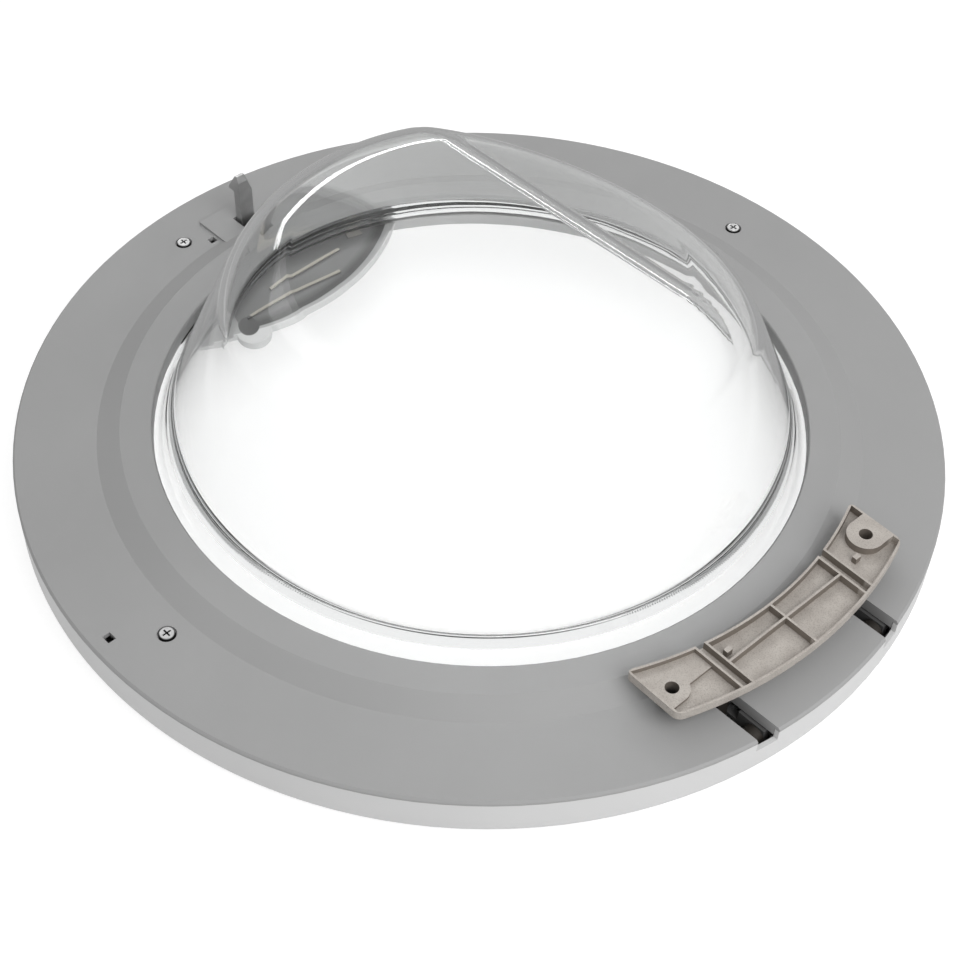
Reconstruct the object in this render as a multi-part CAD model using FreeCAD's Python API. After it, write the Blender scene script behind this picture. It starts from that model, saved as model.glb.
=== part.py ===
import FreeCAD, Part
import math
import os

V = FreeCAD.Vector

# Front-loader door lying face down, millimetres.
# X points to the hinge, Y to the top of the mounted door, Z to the drum.

# Ring: the rim and the ring's width drive every other radius
RIM_R = 240.0
RING_W = 76.5
FACE_Z = 24.4
COVER_T = 2.5
COVER_EDGE = 1.0
STEP_FROM_BOWL = 34.5
STEP_RUN = 12.0
STEP_H = 5.0
OPENING_GAP = 5.9
LIP_T = 2.5
WALL_T = 2.5
RIM_ROUND = 5.0
GRIP_FROM_BOWL = 14.5
GRIP_BEVEL = 1.0
SEAT_GAP = 8.5
SEAT_W = 12.0
SEAT_T = 2.4
BOWL_ROOT_R = RIM_R - RING_W
STEP_OUT_R = BOWL_ROOT_R + STEP_FROM_BOWL
STEP_IN_R = STEP_OUT_R - STEP_RUN
OPENING_R = BOWL_ROOT_R + OPENING_GAP
GRIP_EDGE_R = BOWL_ROOT_R + GRIP_FROM_BOWL
SEAT_IN_R = BOWL_ROOT_R + SEAT_GAP
SEAT_OUT_R = SEAT_IN_R + SEAT_W

# Glass
GLASS_T = 4.5
FLANGE_GAP = 2.0
FLANGE_R = SEAT_OUT_R - FLANGE_GAP
BOWL_ROOT_ROUND = 4.0
BOWL_DRAW = 40.5
BOWL_END_R = BOWL_ROOT_R - BOWL_DRAW
BOWL_END_H = 95.0
BOWL_ROUND = 12.0
CREST_Y = 58.5
DEFLECTOR_DEG = 25.7

# Cover screws: distances out from the step, and directions in degrees
SCREW_OUT = [11.6, 13.2, 15.3, 13.7]
SCREW_DEG = [271.75, 92.0, 188.4, 357.8]
SCREW_R = 1.75
SCREW_LEN = 14.0
HEAD_R = 4.2
HEAD_H = 2.2
HEAD_TAPER = 0.8
HEAD_SINK = 1.4
SINK_GAP = 0.5
DRIVE_LEN = 4.6
DRIVE_W = 0.9
DRIVE_DEPTH = 1.2
POST_R = 4.5
PILOT_GAP = 0.05
HOLE_GAP = 0.25

# Locating holes in the cover, one in from the rim and one out from the step
TONGUE_LOW_IN = 9.7
TONGUE_LOW_X = -10.0
TONGUE_SIDE_OUT = 4.0
TONGUE_SIDE_Y = -17.6
TONGUE_L = 5.0
TONGUE_W = 4.2

# Hook
HOOK_FROM_STEP = 5.7
HOOK_X = -STEP_OUT_R - HOOK_FROM_STEP
HOOK_Y = 8.0
HOOK_T = 5.0
HOOK_W = 9.4
HOOK_TOP = 33.0
HOOK_NOSE = 4.6
HOOK_NOSE_Z = 21.0
HOOK_NOSE_RISE = 0.4
HOOK_NOSE_T = 1.6
HOOK_TIP = (-0.6, 1.2)
HOOK_CHAMFER = 4.0
HOOK_BOSS_R = 5.0
HOOK_BOSS_W = 5.6
HOOK_PIN_R = 2.0
HOOK_PIN_Z = 11.0
HOOK_SWING_DEG = 10.0
HOOK_SLOT_GAP = 1.4
HOOK_CHEEK_W = 3.0
HOOK_BRACKET_HALF = 6.5
PAD_X = 20.5
PAD_H = 1.6
PAD_BELOW = 22.2
PAD_ABOVE = 14.0

# Spring
SPRING_R = 3.3
WIRE_R = 0.4
SPRING_PITCH = 1.05
SPRING_TURNS = 2.5

# Ears and bosses that carry the inner pieces
BOSS_R = 3.6
BOSS_TOP = 8.5
EAR_T = 2.2
EAR_HALF = 5.5
SMALL_SCREW_R = 1.4
SMALL_HEAD_R = 2.8
SMALL_HEAD_H = 1.9

# Handle recess: X distances are taken from the opening's edge
MOON_R = 123.6
MOON_OUT = 77.6
MOON_SPOT = (-OPENING_R - MOON_OUT, -1.0)
MOON_GAP = 0.5
MOON_OUT_R = SEAT_IN_R - MOON_GAP
LOBE_IN = 31.2
LOBE_SPOT = (LOBE_IN - OPENING_R, -47.2)
LOBE_R = 7.4
LOBE_PAD_R = 16.0
SHELL_T = 2.2
SHELL_TOP = 16.4
TRAY_WALL = 2.0
TRAY_H = 2.4
TRAY_GAP = 6.0
TRAY_OUT_R = BOWL_ROOT_R - TRAY_GAP
TRAY_LOW_Y = -54.0
RIB_ENDS = [((17.1, -14.0), (17.1, 34.0)), ((23.9, -44.0), (31.9, 22.0))]
RIB_W = 1.8
RIB_H = 1.2
TAB_SPOT = (10.4, 50.2)
TAB_SIZE = 9.0
TAB_H = 0.6
POCKET_BEHIND = 6.0
POCKET_R = SEAT_OUT_R + POCKET_BEHIND
POCKET_FRONT = 28.0
POCKET_IN_X = POCKET_FRONT - SEAT_IN_R
POCKET_HALF_Y = 58.0
POCKET_GAP = 0.3
HANDLE_EAR_OUT = 7.0
HANDLE_EAR_GAP = 3.15
HANDLE_EAR_Y = POCKET_HALF_Y + HANDLE_EAR_OUT
HANDLE_EAR_X = -math.sqrt((SEAT_OUT_R + HANDLE_EAR_GAP) ** 2 - HANDLE_EAR_Y ** 2)

# Hinge leaf: X distances are taken from its inner edge
HINGE_Y = -1.0
LEAF_OVER_STEP = 5.5
LEAF_FROM_RIM = 17.4
LEAF_IN_R = STEP_OUT_R - LEAF_OVER_STEP
LEAF_OUT_R = RIM_R - LEAF_FROM_RIM
LEAF_HALF_Y = 77.9
LEAF_TURN_DEG = -1.87
LEAF_CORNER_IN = 2.5
LEAF_CORNER_OUT = 6.0
LEAF_EDGE = 1.4
LEAF_LIFT = 9.6
LEAF_T = 5.4
LEAF_WALL = 2.0
POCKET_DEPTH = 3.4
LONG_RIB_IN = 10.5
LONG_RIB_X = LEAF_IN_R + LONG_RIB_IN
GROOVE_Y = 42.0
GROOVE_W = 4.6
MOUNT_HOLE_IN = 2.4
MOUNT_HOLE_X = LEAF_IN_R + MOUNT_HOLE_IN
MOUNT_HOLE_SPACING = 135.0
MOUNT_HOLE_R = 3.4
BOSS_LOW_R = 8.5
BOSS_LOW_RIB = 3.8
BOSS_HIGH_R = 10.2
NUB_SPOTS = [(4.0, -36.6), (7.0, 51.0)]
NUB_L = 2.6
NUB_W = 3.6
NUB_H = 3.0

# Hinge arms, pins and bearings
ARM_YS = {"lower": -48.5, "upper": 40.0}
ARM_W = 8.0
ARM_FROM_STEP = 2.0
ARM_IN_X = STEP_OUT_R + ARM_FROM_STEP
ARM_POST_X = 8.5
ARM_LOW_Z = 3.2
ARM_NECK_T = 4.4
ARM_HEEL = 4.0
ARM_CROOK = 2.0
ARM_TOE = 5.0
AXIS_FROM_RIM = 15.0
AXIS_X = RIM_R - AXIS_FROM_RIM
AXIS_Z = 11.0
ARM_BOSS_R = 5.6
PIN_R = 2.5
RUN_GAP = 0.05
PRESS_GAP = 0.02
BUSH_T = 1.05
SLOT_W = 12.0
SLOT_FROM_STEP = 0.3
SLOT_IN_X = STEP_OUT_R + SLOT_FROM_STEP
SLOT_SKIRT_T = 1.4
SLOT_SKIRT_H = 4.4
NOTCH_Z = 19.4
CHEEK_GAP = 0.6
CHEEK_W = 5.0
BEARING_IN = 11.0
BEARING_OUT = 4.6
BEARING_TOP = 16.6
BEARING_BASE = 2.1
BEARING_WEB = 0.8
BEARING_EAR_IN = 17.0
BEARING_EAR_X = AXIS_X - BEARING_EAR_IN
BEARING_EAR_Y = 10.4

# Derived heights, and the length and tolerance used by cutters
COVER_Z = FACE_Z - COVER_T
SEAT_Z = COVER_Z - GLASS_T
LEAF_Z0 = FACE_Z + LEAF_LIFT
LEAF_Z1 = LEAF_Z0 + LEAF_T
REACH = 60.0
NEAR = 0.01


def box(x0, x1, y0, y1, z0, z1):
    return Part.makeBox(x1 - x0, y1 - y0, z1 - z0, V(x0, y0, z0))


def post(x, y, r, z0, z1):
    return Part.makeCylinder(r, z1 - z0, V(x, y, z0))


def rod(x, z, r, y0, y1):
    return Part.makeCylinder(r, y1 - y0, V(x, y0, z), V(0, 1, 0))


def tube(r0, r1, z0, z1):
    return post(0, 0, r1, z0, z1).cut(post(0, 0, r0, z0 - 1, z1 + 1))


def at_height(edge, z):
    return abs(edge.BoundBox.ZMin - z) < NEAR and abs(edge.BoundBox.ZMax - z) < NEAR


def upright(edge):
    return edge.BoundBox.XLength < NEAR and edge.BoundBox.YLength < NEAR


def fuse(first, *others):
    return first.multiFuse(list(others)).removeSplitter()


def revolve(steps):
    """Turn a closed (r, z) outline about Z; a pair of points is an arc, its middle and its end."""
    edges = []
    here = steps[0]
    for step in steps[1:] + [steps[0]]:
        if isinstance(step[0], tuple):
            mid, end = step
            curve = Part.Arc(V(here[0], 0, here[1]), V(mid[0], 0, mid[1]), V(end[0], 0, end[1]))
        else:
            end = step
            curve = Part.LineSegment(V(here[0], 0, here[1]), V(end[0], 0, end[1]))
        edges.append(curve.toShape())
        here = end
    return Part.Face(Part.Wire(edges)).revolve(V(0, 0, 0), V(0, 0, 1), 360)


def arc(centre, radius, deg0, deg1):
    """Middle and end point of an arc, for revolve."""
    out = []
    for deg in ((deg0 + deg1) / 2.0, deg1):
        a = math.radians(deg)
        out.append((centre[0] + radius * math.cos(a), centre[1] + radius * math.sin(a)))
    return tuple(out)


def side_plate(points, y0, y1):
    """Plate with its outline in the XZ plane."""
    face = Part.Face(Part.makePolygon([V(x, y0, z) for x, z in points + points[:1]]))
    return face.extrude(V(0, y1 - y0, 0))


def cross_screw(x, y, z, shank_r, length, head_r, head_h):
    """Screw pointing down, head seat at z, with a tapered head."""
    head = Part.makeCone(head_r, head_r * HEAD_TAPER, head_h, V(x, y, z))
    return fuse(post(x, y, shank_r, z - length, z), head)


def cross_recess(x, y, z):
    """Cutter for the driver recess in the top of a cover screw."""
    half, width = DRIVE_LEN / 2, DRIVE_W / 2
    slot = box(x - half, x + half, y - width, y + width, z - DRIVE_DEPTH, z + 1)
    return slot.fuse(box(x - width, x + width, y - half, y + half, z - DRIVE_DEPTH, z + 1))


def screw_spots():
    """Where the cover screws stand."""
    spots = []
    for out, deg in zip(SCREW_OUT, SCREW_DEG):
        r, a = STEP_OUT_R + out, math.radians(deg)
        spots.append((r * math.cos(a), r * math.sin(a)))
    return spots


def ear_spots():
    """Where small screws hold the inner pieces to the front frame."""
    bearing = [(BEARING_EAR_X, y + s * BEARING_EAR_Y) for y in ARM_YS.values() for s in (-1, 1)]
    handle = [(HANDLE_EAR_X, s * HANDLE_EAR_Y) for s in (-1, 1)]
    hook = [(HOOK_X, HOOK_Y + s * hook_ear_y()) for s in (-1, 1)]
    return {"bearing": bearing, "handle": handle, "hook": hook}


def hook_cheeks():
    """Inner and outer distance of the hook carrier's cheeks from the hook's middle."""
    inner = HOOK_W / 2 + CHEEK_GAP
    return inner, inner + HOOK_CHEEK_W


def hook_ear_y():
    return hook_cheeks()[1] + EAR_HALF


def small_screws(spots):
    z = BOSS_TOP + EAR_T
    return Part.makeCompound([
        cross_screw(x, y, z, SMALL_SCREW_R, BOSS_TOP - WALL_T, SMALL_HEAD_R, SMALL_HEAD_H) for x, y in spots])


def front_frame():
    r0 = RIM_R - WALL_T
    body = revolve([
        (RIM_R, COVER_Z), (RIM_R, RIM_ROUND), arc((RIM_R - RIM_ROUND, RIM_ROUND), RIM_ROUND, 0, -90),
        (GRIP_EDGE_R + GRIP_BEVEL, 0), (GRIP_EDGE_R, GRIP_BEVEL),
        (SEAT_IN_R, SEAT_Z - SEAT_T), (SEAT_IN_R, SEAT_Z), (SEAT_OUT_R, SEAT_Z),
        (SEAT_OUT_R, SEAT_Z - SEAT_T), (SEAT_IN_R + WALL_T, SEAT_Z - SEAT_T),
        (GRIP_EDGE_R + WALL_T, WALL_T), (r0 - WALL_T, WALL_T), (r0, RIM_ROUND), (r0, COVER_Z)])
    posts = [post(x, y, POST_R, WALL_T, COVER_Z) for x, y in screw_spots()]
    bosses = [post(x, y, BOSS_R, WALL_T, BOSS_TOP) for spots in ear_spots().values() for x, y in spots]
    body = fuse(body, *(posts + bosses))
    cuts = [post(x, y, SCREW_R + PILOT_GAP, COVER_Z - SCREW_LEN, COVER_Z + 1) for x, y in screw_spots()]
    cuts += [post(x, y, SMALL_SCREW_R + PILOT_GAP, WALL_T, BOSS_TOP + 1)
             for spots in ear_spots().values() for x, y in spots]
    for y in ARM_YS.values():
        cuts.append(box(AXIS_X, RIM_R + 1, y - SLOT_W / 2, y + SLOT_W / 2, NOTCH_Z, COVER_Z + 1))
    half = POCKET_HALF_Y + POCKET_GAP
    window = box(-POCKET_R, POCKET_IN_X, -half, half, WALL_T, COVER_Z)
    cuts.append(window.common(tube(SEAT_IN_R - 1, SEAT_OUT_R + 1, 0, COVER_Z)))
    return body.cut(Part.makeCompound(cuts))


def inner_frame():
    slope = STEP_H / (STEP_OUT_R - STEP_IN_R)
    drop = COVER_T * (math.hypot(1, slope) - 1) / slope
    top = FACE_Z + STEP_H
    body = revolve([
        (RIM_R, COVER_Z), (RIM_R, FACE_Z - COVER_EDGE), (RIM_R - COVER_EDGE, FACE_Z),
        (STEP_OUT_R, FACE_Z), (STEP_IN_R, top), (OPENING_R + COVER_EDGE, top), (OPENING_R, top - COVER_EDGE),
        (OPENING_R, COVER_Z), (OPENING_R + LIP_T, COVER_Z), (OPENING_R + LIP_T, top - COVER_T),
        (STEP_IN_R - drop, top - COVER_T), (STEP_OUT_R - drop, COVER_Z)])
    pad = revolve([
        (STEP_OUT_R - drop, COVER_Z), (STEP_OUT_R + PAD_X, COVER_Z), (STEP_OUT_R + PAD_X, FACE_Z + PAD_H),
        (STEP_OUT_R - PAD_H / slope, FACE_Z + PAD_H)])
    body = fuse(body, pad.common(box(-RIM_R, 0, HOOK_Y - PAD_BELOW, HOOK_Y + PAD_ABOVE, 0, FACE_Z + STEP_H)))
    outside = tube(RIM_R - WALL_T - POCKET_GAP, RIM_R + REACH, 0, COVER_Z)
    for y in ARM_YS.values():
        half = SLOT_W / 2 + SLOT_SKIRT_T
        skirt = box(SLOT_IN_X - SLOT_SKIRT_T, RIM_R, y - half, y + half, COVER_Z - SLOT_SKIRT_H, COVER_Z)
        body = body.fuse(skirt.cut(outside))
        body = body.cut(box(SLOT_IN_X, RIM_R + 1, y - SLOT_W / 2, y + SLOT_W / 2, 0, FACE_Z + 1))
    cuts = []
    for x, y in screw_spots():
        cuts.append(post(x, y, SCREW_R + HOLE_GAP, COVER_Z - 1, FACE_Z + 1))
        cuts.append(post(x, y, HEAD_R + SINK_GAP, FACE_Z - HEAD_SINK, FACE_Z + 1))
    cuts.append(tongue_hole(TONGUE_LOW_X, TONGUE_LOW_IN - RIM_R, TONGUE_L))
    cuts.append(tongue_hole(-STEP_OUT_R - TONGUE_SIDE_OUT, TONGUE_SIDE_Y, TONGUE_W))
    cuts.append(hook_slot())
    return body.cut(Part.makeCompound(cuts)).removeSplitter()


def tongue_hole(x, y, length):
    """Cutter for a locating hole in the cover."""
    return box(x - length / 2, x + length / 2, y - TONGUE_W / 2, y + TONGUE_W / 2, 0, FACE_Z + STEP_H)


def hook_slot():
    """Opening in the cover, wide enough for the hook over its swing."""
    rise = FACE_Z + PAD_H - HOOK_PIN_Z
    swing = rise * math.tan(math.radians(HOOK_SWING_DEG))
    x0 = HOOK_X - HOOK_T / 2 - HOOK_SLOT_GAP
    x1 = HOOK_X + HOOK_T / 2 + swing + HOOK_SLOT_GAP
    half = HOOK_W / 2 + HOOK_SLOT_GAP
    return box(x0, x1, HOOK_Y - half, HOOK_Y + half, 0, FACE_Z + STEP_H + 1)


def bowl_solid(inset):
    """Filled bowl shape; inset is the distance inward from the outer glass surface."""
    top = FACE_Z + BOWL_END_H
    taper = (BOWL_ROOT_R - BOWL_END_R) / (top - COVER_Z)
    tilt = math.atan(taper)
    radius = BOWL_ROUND - inset

    def wall_r(z):
        return BOWL_ROOT_R - inset / math.cos(tilt) - taper * (z - COVER_Z)

    low = SEAT_Z - inset
    mid_z = top - inset - radius
    mid_r = wall_r(mid_z) - radius / math.cos(tilt)
    body = revolve([
        (0, low), (wall_r(low), low),
        (mid_r + radius * math.cos(tilt), mid_z + radius * math.sin(tilt)),
        arc((mid_r, mid_z), radius, math.degrees(tilt), 90), (0, top - inset)])
    above = box(-RIM_R, RIM_R, 0, RIM_R, 0, RIM_R)
    above.rotate(V(0, 0, 0), V(1, 0, 0), -DEFLECTOR_DEG)
    above.translate(V(0, CREST_Y, top - inset / math.cos(math.radians(DEFLECTOR_DEG))))
    return body.cut(above)


def glass_bowl():
    flange = tube(BOWL_ROOT_R - GLASS_T, FLANGE_R, SEAT_Z, COVER_Z)
    flange = flange.cut(bowl_solid(GLASS_T))
    wall = bowl_solid(0.0).cut(bowl_solid(GLASS_T))
    wall = wall.cut(post(0, 0, RIM_R, -REACH, SEAT_Z))
    body = fuse(flange, wall)
    rings = [e for e in body.Edges if at_height(e, COVER_Z)]
    root = [e for e in rings if abs(e.BoundBox.XLength / 2 - BOWL_ROOT_R) < NEAR]
    return body.makeFillet(BOWL_ROOT_ROUND, root)


def moon(grow, z0, z1):
    """Half-moon with the round pad at its lower end, grown outward by the given amount."""
    lens = post(MOON_SPOT[0], MOON_SPOT[1], MOON_R + grow, z0, z1)
    lens = lens.fuse(post(LOBE_SPOT[0], LOBE_SPOT[1], LOBE_PAD_R + grow, z0, z1))
    return lens.common(post(0, 0, MOON_OUT_R, z0, z1))


def finger_pocket(grow, z0, z1):
    """Undercut behind the grip edge, grown outward by the given amount."""
    half = POCKET_HALF_Y + grow
    pocket = box(-POCKET_R - grow, POCKET_IN_X, -half, half, z0, z1)
    return pocket.common(tube(MOON_OUT_R - SHELL_T, POCKET_R + grow, z0, z1))


def tray_rim():
    """Low wall round the half-moon on the side of the drum, where the bowl leaves room."""
    z0, z1 = SHELL_TOP - SHELL_T / 2, SHELL_TOP + TRAY_H
    inside = post(MOON_SPOT[0], MOON_SPOT[1], MOON_R - TRAY_WALL, z0, z1)
    inside = inside.common(box(-RIM_R, 0, TRAY_LOW_Y, RIM_R, z0, z1))
    inside = inside.fuse(post(LOBE_SPOT[0], LOBE_SPOT[1], LOBE_R, z0, z1))
    return moon(0, z0, z1).common(post(0, 0, TRAY_OUT_R, z0, z1)).cut(inside)


def tray_rib(start, end):
    """Straight rib on the tray floor between two points given from the opening's edge."""
    dx, dy = end[0] - start[0], end[1] - start[1]
    rib = box(0, math.hypot(dx, dy), -RIB_W / 2, RIB_W / 2, SHELL_TOP - SHELL_T / 2, SHELL_TOP + RIB_H)
    rib.rotate(V(0, 0, 0), V(0, 0, 1), math.degrees(math.atan2(dy, dx)))
    rib.translate(V(start[0] - OPENING_R, start[1], 0))
    return rib


def tray_tab():
    """Square pad on the tray floor, set along the ring's radius."""
    half = TAB_SIZE / 2
    x, y = TAB_SPOT[0] - OPENING_R, TAB_SPOT[1]
    tab = box(-half, half, -half, half, SHELL_TOP - SHELL_T / 2, SHELL_TOP + TAB_H)
    tab.rotate(V(0, 0, 0), V(0, 0, 1), math.degrees(math.atan2(y, x)))
    tab.translate(V(x, y, 0))
    return tab.common(post(0, 0, MOON_OUT_R, 0, COVER_Z))


def handle_shell():
    roof = SHELL_TOP - SHELL_T
    pocket = finger_pocket(0, WALL_T, SHELL_TOP).cut(finger_pocket(-SHELL_T, 0, roof))
    pocket = pocket.cut(post(0, 0, MOON_OUT_R, 0, roof))
    body = moon(0, roof, SHELL_TOP).fuse(pocket).fuse(tray_rim()).fuse(tray_tab())
    for start, end in RIB_ENDS:
        body = body.fuse(tray_rib(start, end))
    for s in (-1, 1):
        ex, ey = HANDLE_EAR_X, s * HANDLE_EAR_Y
        y0, y1 = sorted((s * (POCKET_HALF_Y - SHELL_T / 2), ey + s * EAR_HALF))
        ear = box(ex - EAR_HALF, ex + EAR_HALF, y0, y1, BOSS_TOP, BOSS_TOP + EAR_T)
        body = body.fuse(ear).cut(post(ex, ey, SMALL_SCREW_R + HOLE_GAP, 0, SHELL_TOP))
    return body.removeSplitter()


def hook():
    x0, x1 = HOOK_X - HOOK_T / 2, HOOK_X + HOOK_T / 2
    foot = COVER_Z - COVER_T
    nose, top = FACE_Z + HOOK_NOSE_Z, FACE_Z + HOOK_TOP
    y0, y1 = HOOK_Y - HOOK_W / 2, HOOK_Y + HOOK_W / 2
    blade = side_plate([
        (x0, foot), (x0, nose), (x0 - HOOK_NOSE, nose + HOOK_NOSE_RISE),
        (x0 - HOOK_NOSE, nose + HOOK_NOSE_RISE + HOOK_NOSE_T),
        (HOOK_X + HOOK_TIP[0], top), (HOOK_X + HOOK_TIP[1], top),
        (x1, top - HOOK_CHAMFER), (x1, foot)], y0, y1)
    shave = Part.Face(Part.makePolygon([
        V(x0 - REACH, y1 - HOOK_CHAMFER, top), V(x0 - REACH, y1, nose), V(x0 - REACH, y1 + 1, nose),
        V(x0 - REACH, y1 + 1, top + 1), V(x0 - REACH, y1 - HOOK_CHAMFER, top + 1),
        V(x0 - REACH, y1 - HOOK_CHAMFER, top)])).extrude(V(2 * REACH, 0, 0))
    blade = blade.cut(shave)
    stem = box(x0, x1, y0, y0 + HOOK_BOSS_W, HOOK_PIN_Z, foot)
    boss = rod(HOOK_X, HOOK_PIN_Z, HOOK_BOSS_R, y0, y0 + HOOK_BOSS_W)
    bore = rod(HOOK_X, HOOK_PIN_Z, HOOK_PIN_R + RUN_GAP, y0 - 1, y1 + 1)
    return fuse(blade, stem, boss).cut(bore)


def hook_pin():
    reach = hook_cheeks()[1]
    return rod(HOOK_X, HOOK_PIN_Z, HOOK_PIN_R, HOOK_Y - reach, HOOK_Y + reach)


def hook_spring():
    y0 = HOOK_Y - HOOK_W / 2 + HOOK_BOSS_W + WIRE_R + CHEEK_GAP / 2
    helix = Part.makeHelix(SPRING_PITCH, SPRING_PITCH * SPRING_TURNS, SPRING_R)
    square = ((-1, -1), (1, -1), (1, 1), (-1, 1), (-1, -1))
    corners = [V(SPRING_R + i * WIRE_R, 0, j * WIRE_R) for i, j in square]
    coil = Part.Wire(helix.Edges).makePipeShell([Part.makePolygon(corners)], True, True)
    coil.rotate(V(0, 0, 0), V(1, 0, 0), -90)
    coil.translate(V(HOOK_X, y0, HOOK_PIN_Z))
    return coil


def hook_bracket():
    inner, outer = hook_cheeks()
    x0, x1 = HOOK_X - HOOK_BRACKET_HALF, HOOK_X + HOOK_BRACKET_HALF
    body = box(x0, x1, HOOK_Y - outer, HOOK_Y + outer, WALL_T, BEARING_TOP)
    body = body.cut(box(x0 - 1, x1 + 1, HOOK_Y - inner, HOOK_Y + inner, WALL_T + BEARING_BASE, FACE_Z))
    far = outer + 2 * EAR_HALF
    ears = box(HOOK_X - EAR_HALF, HOOK_X + EAR_HALF, HOOK_Y - far, HOOK_Y + far, BOSS_TOP, BOSS_TOP + EAR_T)
    body = fuse(body, ears.cut(box(x0, x1, HOOK_Y - inner, HOOK_Y + inner, 0, FACE_Z)))
    cuts = [rod(HOOK_X, HOOK_PIN_Z, HOOK_PIN_R + PRESS_GAP, HOOK_Y - far, HOOK_Y + far)]
    cuts += [post(x, y, SMALL_SCREW_R + HOLE_GAP, 0, FACE_Z) for x, y in ear_spots()["hook"]]
    return body.cut(Part.makeCompound(cuts))


def leaf_plan(inset, y0, y1, z0, z1):
    """Slice of the hinge leaf's curved plan between two heights along Y."""
    ring = tube(LEAF_IN_R + inset, LEAF_OUT_R - inset, z0, z1)
    return ring.common(box(0, RIM_R, HINGE_Y + y0, HINGE_Y + y1, z0, z1))


def leaf_pockets():
    """Everything sunk into the top of the leaf."""
    z0, z1 = LEAF_Z1 - POCKET_DEPTH, LEAF_Z1 + 1
    wall = LEAF_WALL
    near = GROOVE_Y - GROOVE_W / 2 - wall
    far = GROOVE_Y + GROOVE_W / 2 + wall
    rib = box(LONG_RIB_X - wall / 2, LONG_RIB_X + wall / 2, -RIM_R, RIM_R, z0, z1)
    middle = leaf_plan(wall, -near, -wall / 2, z0, z1).fuse(leaf_plan(wall, wall / 2, near, z0, z1)).cut(rib)
    low = leaf_plan(wall, -LEAF_HALF_Y + wall, -far, z0, z1)
    high = leaf_plan(wall, far, LEAF_HALF_Y - wall, z0, z1)
    hole_y = MOUNT_HOLE_SPACING / 2
    x = MOUNT_HOLE_X
    low = low.cut(post(x, HINGE_Y - hole_y, BOSS_LOW_R, z0, z1))
    low = low.cut(box(x, x + BOSS_LOW_R, HINGE_Y - LEAF_HALF_Y, HINGE_Y - hole_y, z0, z1))
    rib_x = x + BOSS_LOW_RIB
    low = low.cut(box(rib_x - wall / 2, rib_x + wall / 2, HINGE_Y - hole_y, HINGE_Y, z0, z1))
    high = high.cut(post(x, HINGE_Y + hole_y, BOSS_HIGH_R, z0, z1))
    high = high.cut(box(x - BOSS_HIGH_R, x + BOSS_HIGH_R, HINGE_Y + hole_y, HINGE_Y + LEAF_HALF_Y, z0, z1))
    cut = middle.fuse(low).fuse(high)
    for s in (-1, 1):
        a, b = sorted((s * (GROOVE_Y - GROOVE_W / 2), s * (GROOVE_Y + GROOVE_W / 2)))
        groove = leaf_plan(0, a, b, z0, z1).cut(tube(LEAF_OUT_R - wall, RIM_R, z0, z1))
        cut = cut.fuse(groove)
    return cut


def hinge_arm(y):
    """Goose-neck arm, which dips under the pin to leave room for the rim wall when the door opens."""
    y0, y1 = y - ARM_W / 2, y + ARM_W / 2
    low, high = ARM_LOW_Z, ARM_LOW_Z + ARM_NECK_T
    x0, x1 = ARM_IN_X, ARM_IN_X + ARM_POST_X
    neck = side_plate([
        (x0, low + ARM_HEEL), (x0, LEAF_Z0 + LEAF_EDGE), (x1, LEAF_Z0 + LEAF_EDGE), (x1, high + ARM_CROOK),
        (x1 + ARM_CROOK, high), (AXIS_X, high), (AXIS_X, AXIS_Z - ARM_BOSS_R), (AXIS_X - ARM_TOE, low),
        (x0 + ARM_HEEL, low)], y0, y1)
    boss = rod(AXIS_X, AXIS_Z, ARM_BOSS_R, y0, y1)
    return neck.fuse(boss)


def bush_r():
    return PIN_R + RUN_GAP + BUSH_T


def hinge_leaf():
    """Ribbed leaf, turned a little about the middle of its bolt holes."""
    leaf = leaf_plan(0, -LEAF_HALF_Y, LEAF_HALF_Y, LEAF_Z0, LEAF_Z1)
    for r, rounding in ((LEAF_IN_R, LEAF_CORNER_IN), (LEAF_OUT_R, LEAF_CORNER_OUT)):
        tall = [e for e in leaf.Edges if upright(e)]
        corners = [e for e in tall if abs(math.hypot(e.CenterOfMass.x, e.CenterOfMass.y) - r) < NEAR]
        leaf = leaf.makeFillet(rounding, corners)
    leaf = leaf.makeFillet(LEAF_EDGE, [e for e in leaf.Edges if at_height(e, LEAF_Z0)])
    leaf = leaf.cut(leaf_pockets())
    floor = LEAF_Z1 - POCKET_DEPTH
    for out, y in NUB_SPOTS:
        x = LEAF_IN_R + out
        leaf = fuse(leaf, box(x, x + NUB_L, y, y + NUB_W, floor, floor + NUB_H))
    half = MOUNT_HOLE_SPACING / 2
    for s in (-1, 1):
        leaf = leaf.cut(post(MOUNT_HOLE_X, HINGE_Y + s * half, MOUNT_HOLE_R, LEAF_Z0 - 1, LEAF_Z1 + 1))
    leaf.rotate(V(MOUNT_HOLE_X, HINGE_Y, 0), V(0, 0, 1), LEAF_TURN_DEG)
    return leaf


def hinge_casting():
    body = fuse(hinge_leaf(), *[hinge_arm(y) for y in ARM_YS.values()])
    bores = [rod(AXIS_X, AXIS_Z, bush_r() + PRESS_GAP, y - ARM_W, y + ARM_W) for y in ARM_YS.values()]
    return body.cut(Part.makeCompound(bores))


def hinge_bush(y):
    y0, y1 = y - ARM_W / 2, y + ARM_W / 2
    return rod(AXIS_X, AXIS_Z, bush_r(), y0, y1).cut(rod(AXIS_X, AXIS_Z, PIN_R + RUN_GAP, y0 - 1, y1 + 1))


def cheek_far():
    return ARM_W / 2 + CHEEK_GAP + CHEEK_W


def hinge_pin(y):
    return rod(AXIS_X, AXIS_Z, PIN_R, y - cheek_far(), y + cheek_far())


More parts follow.
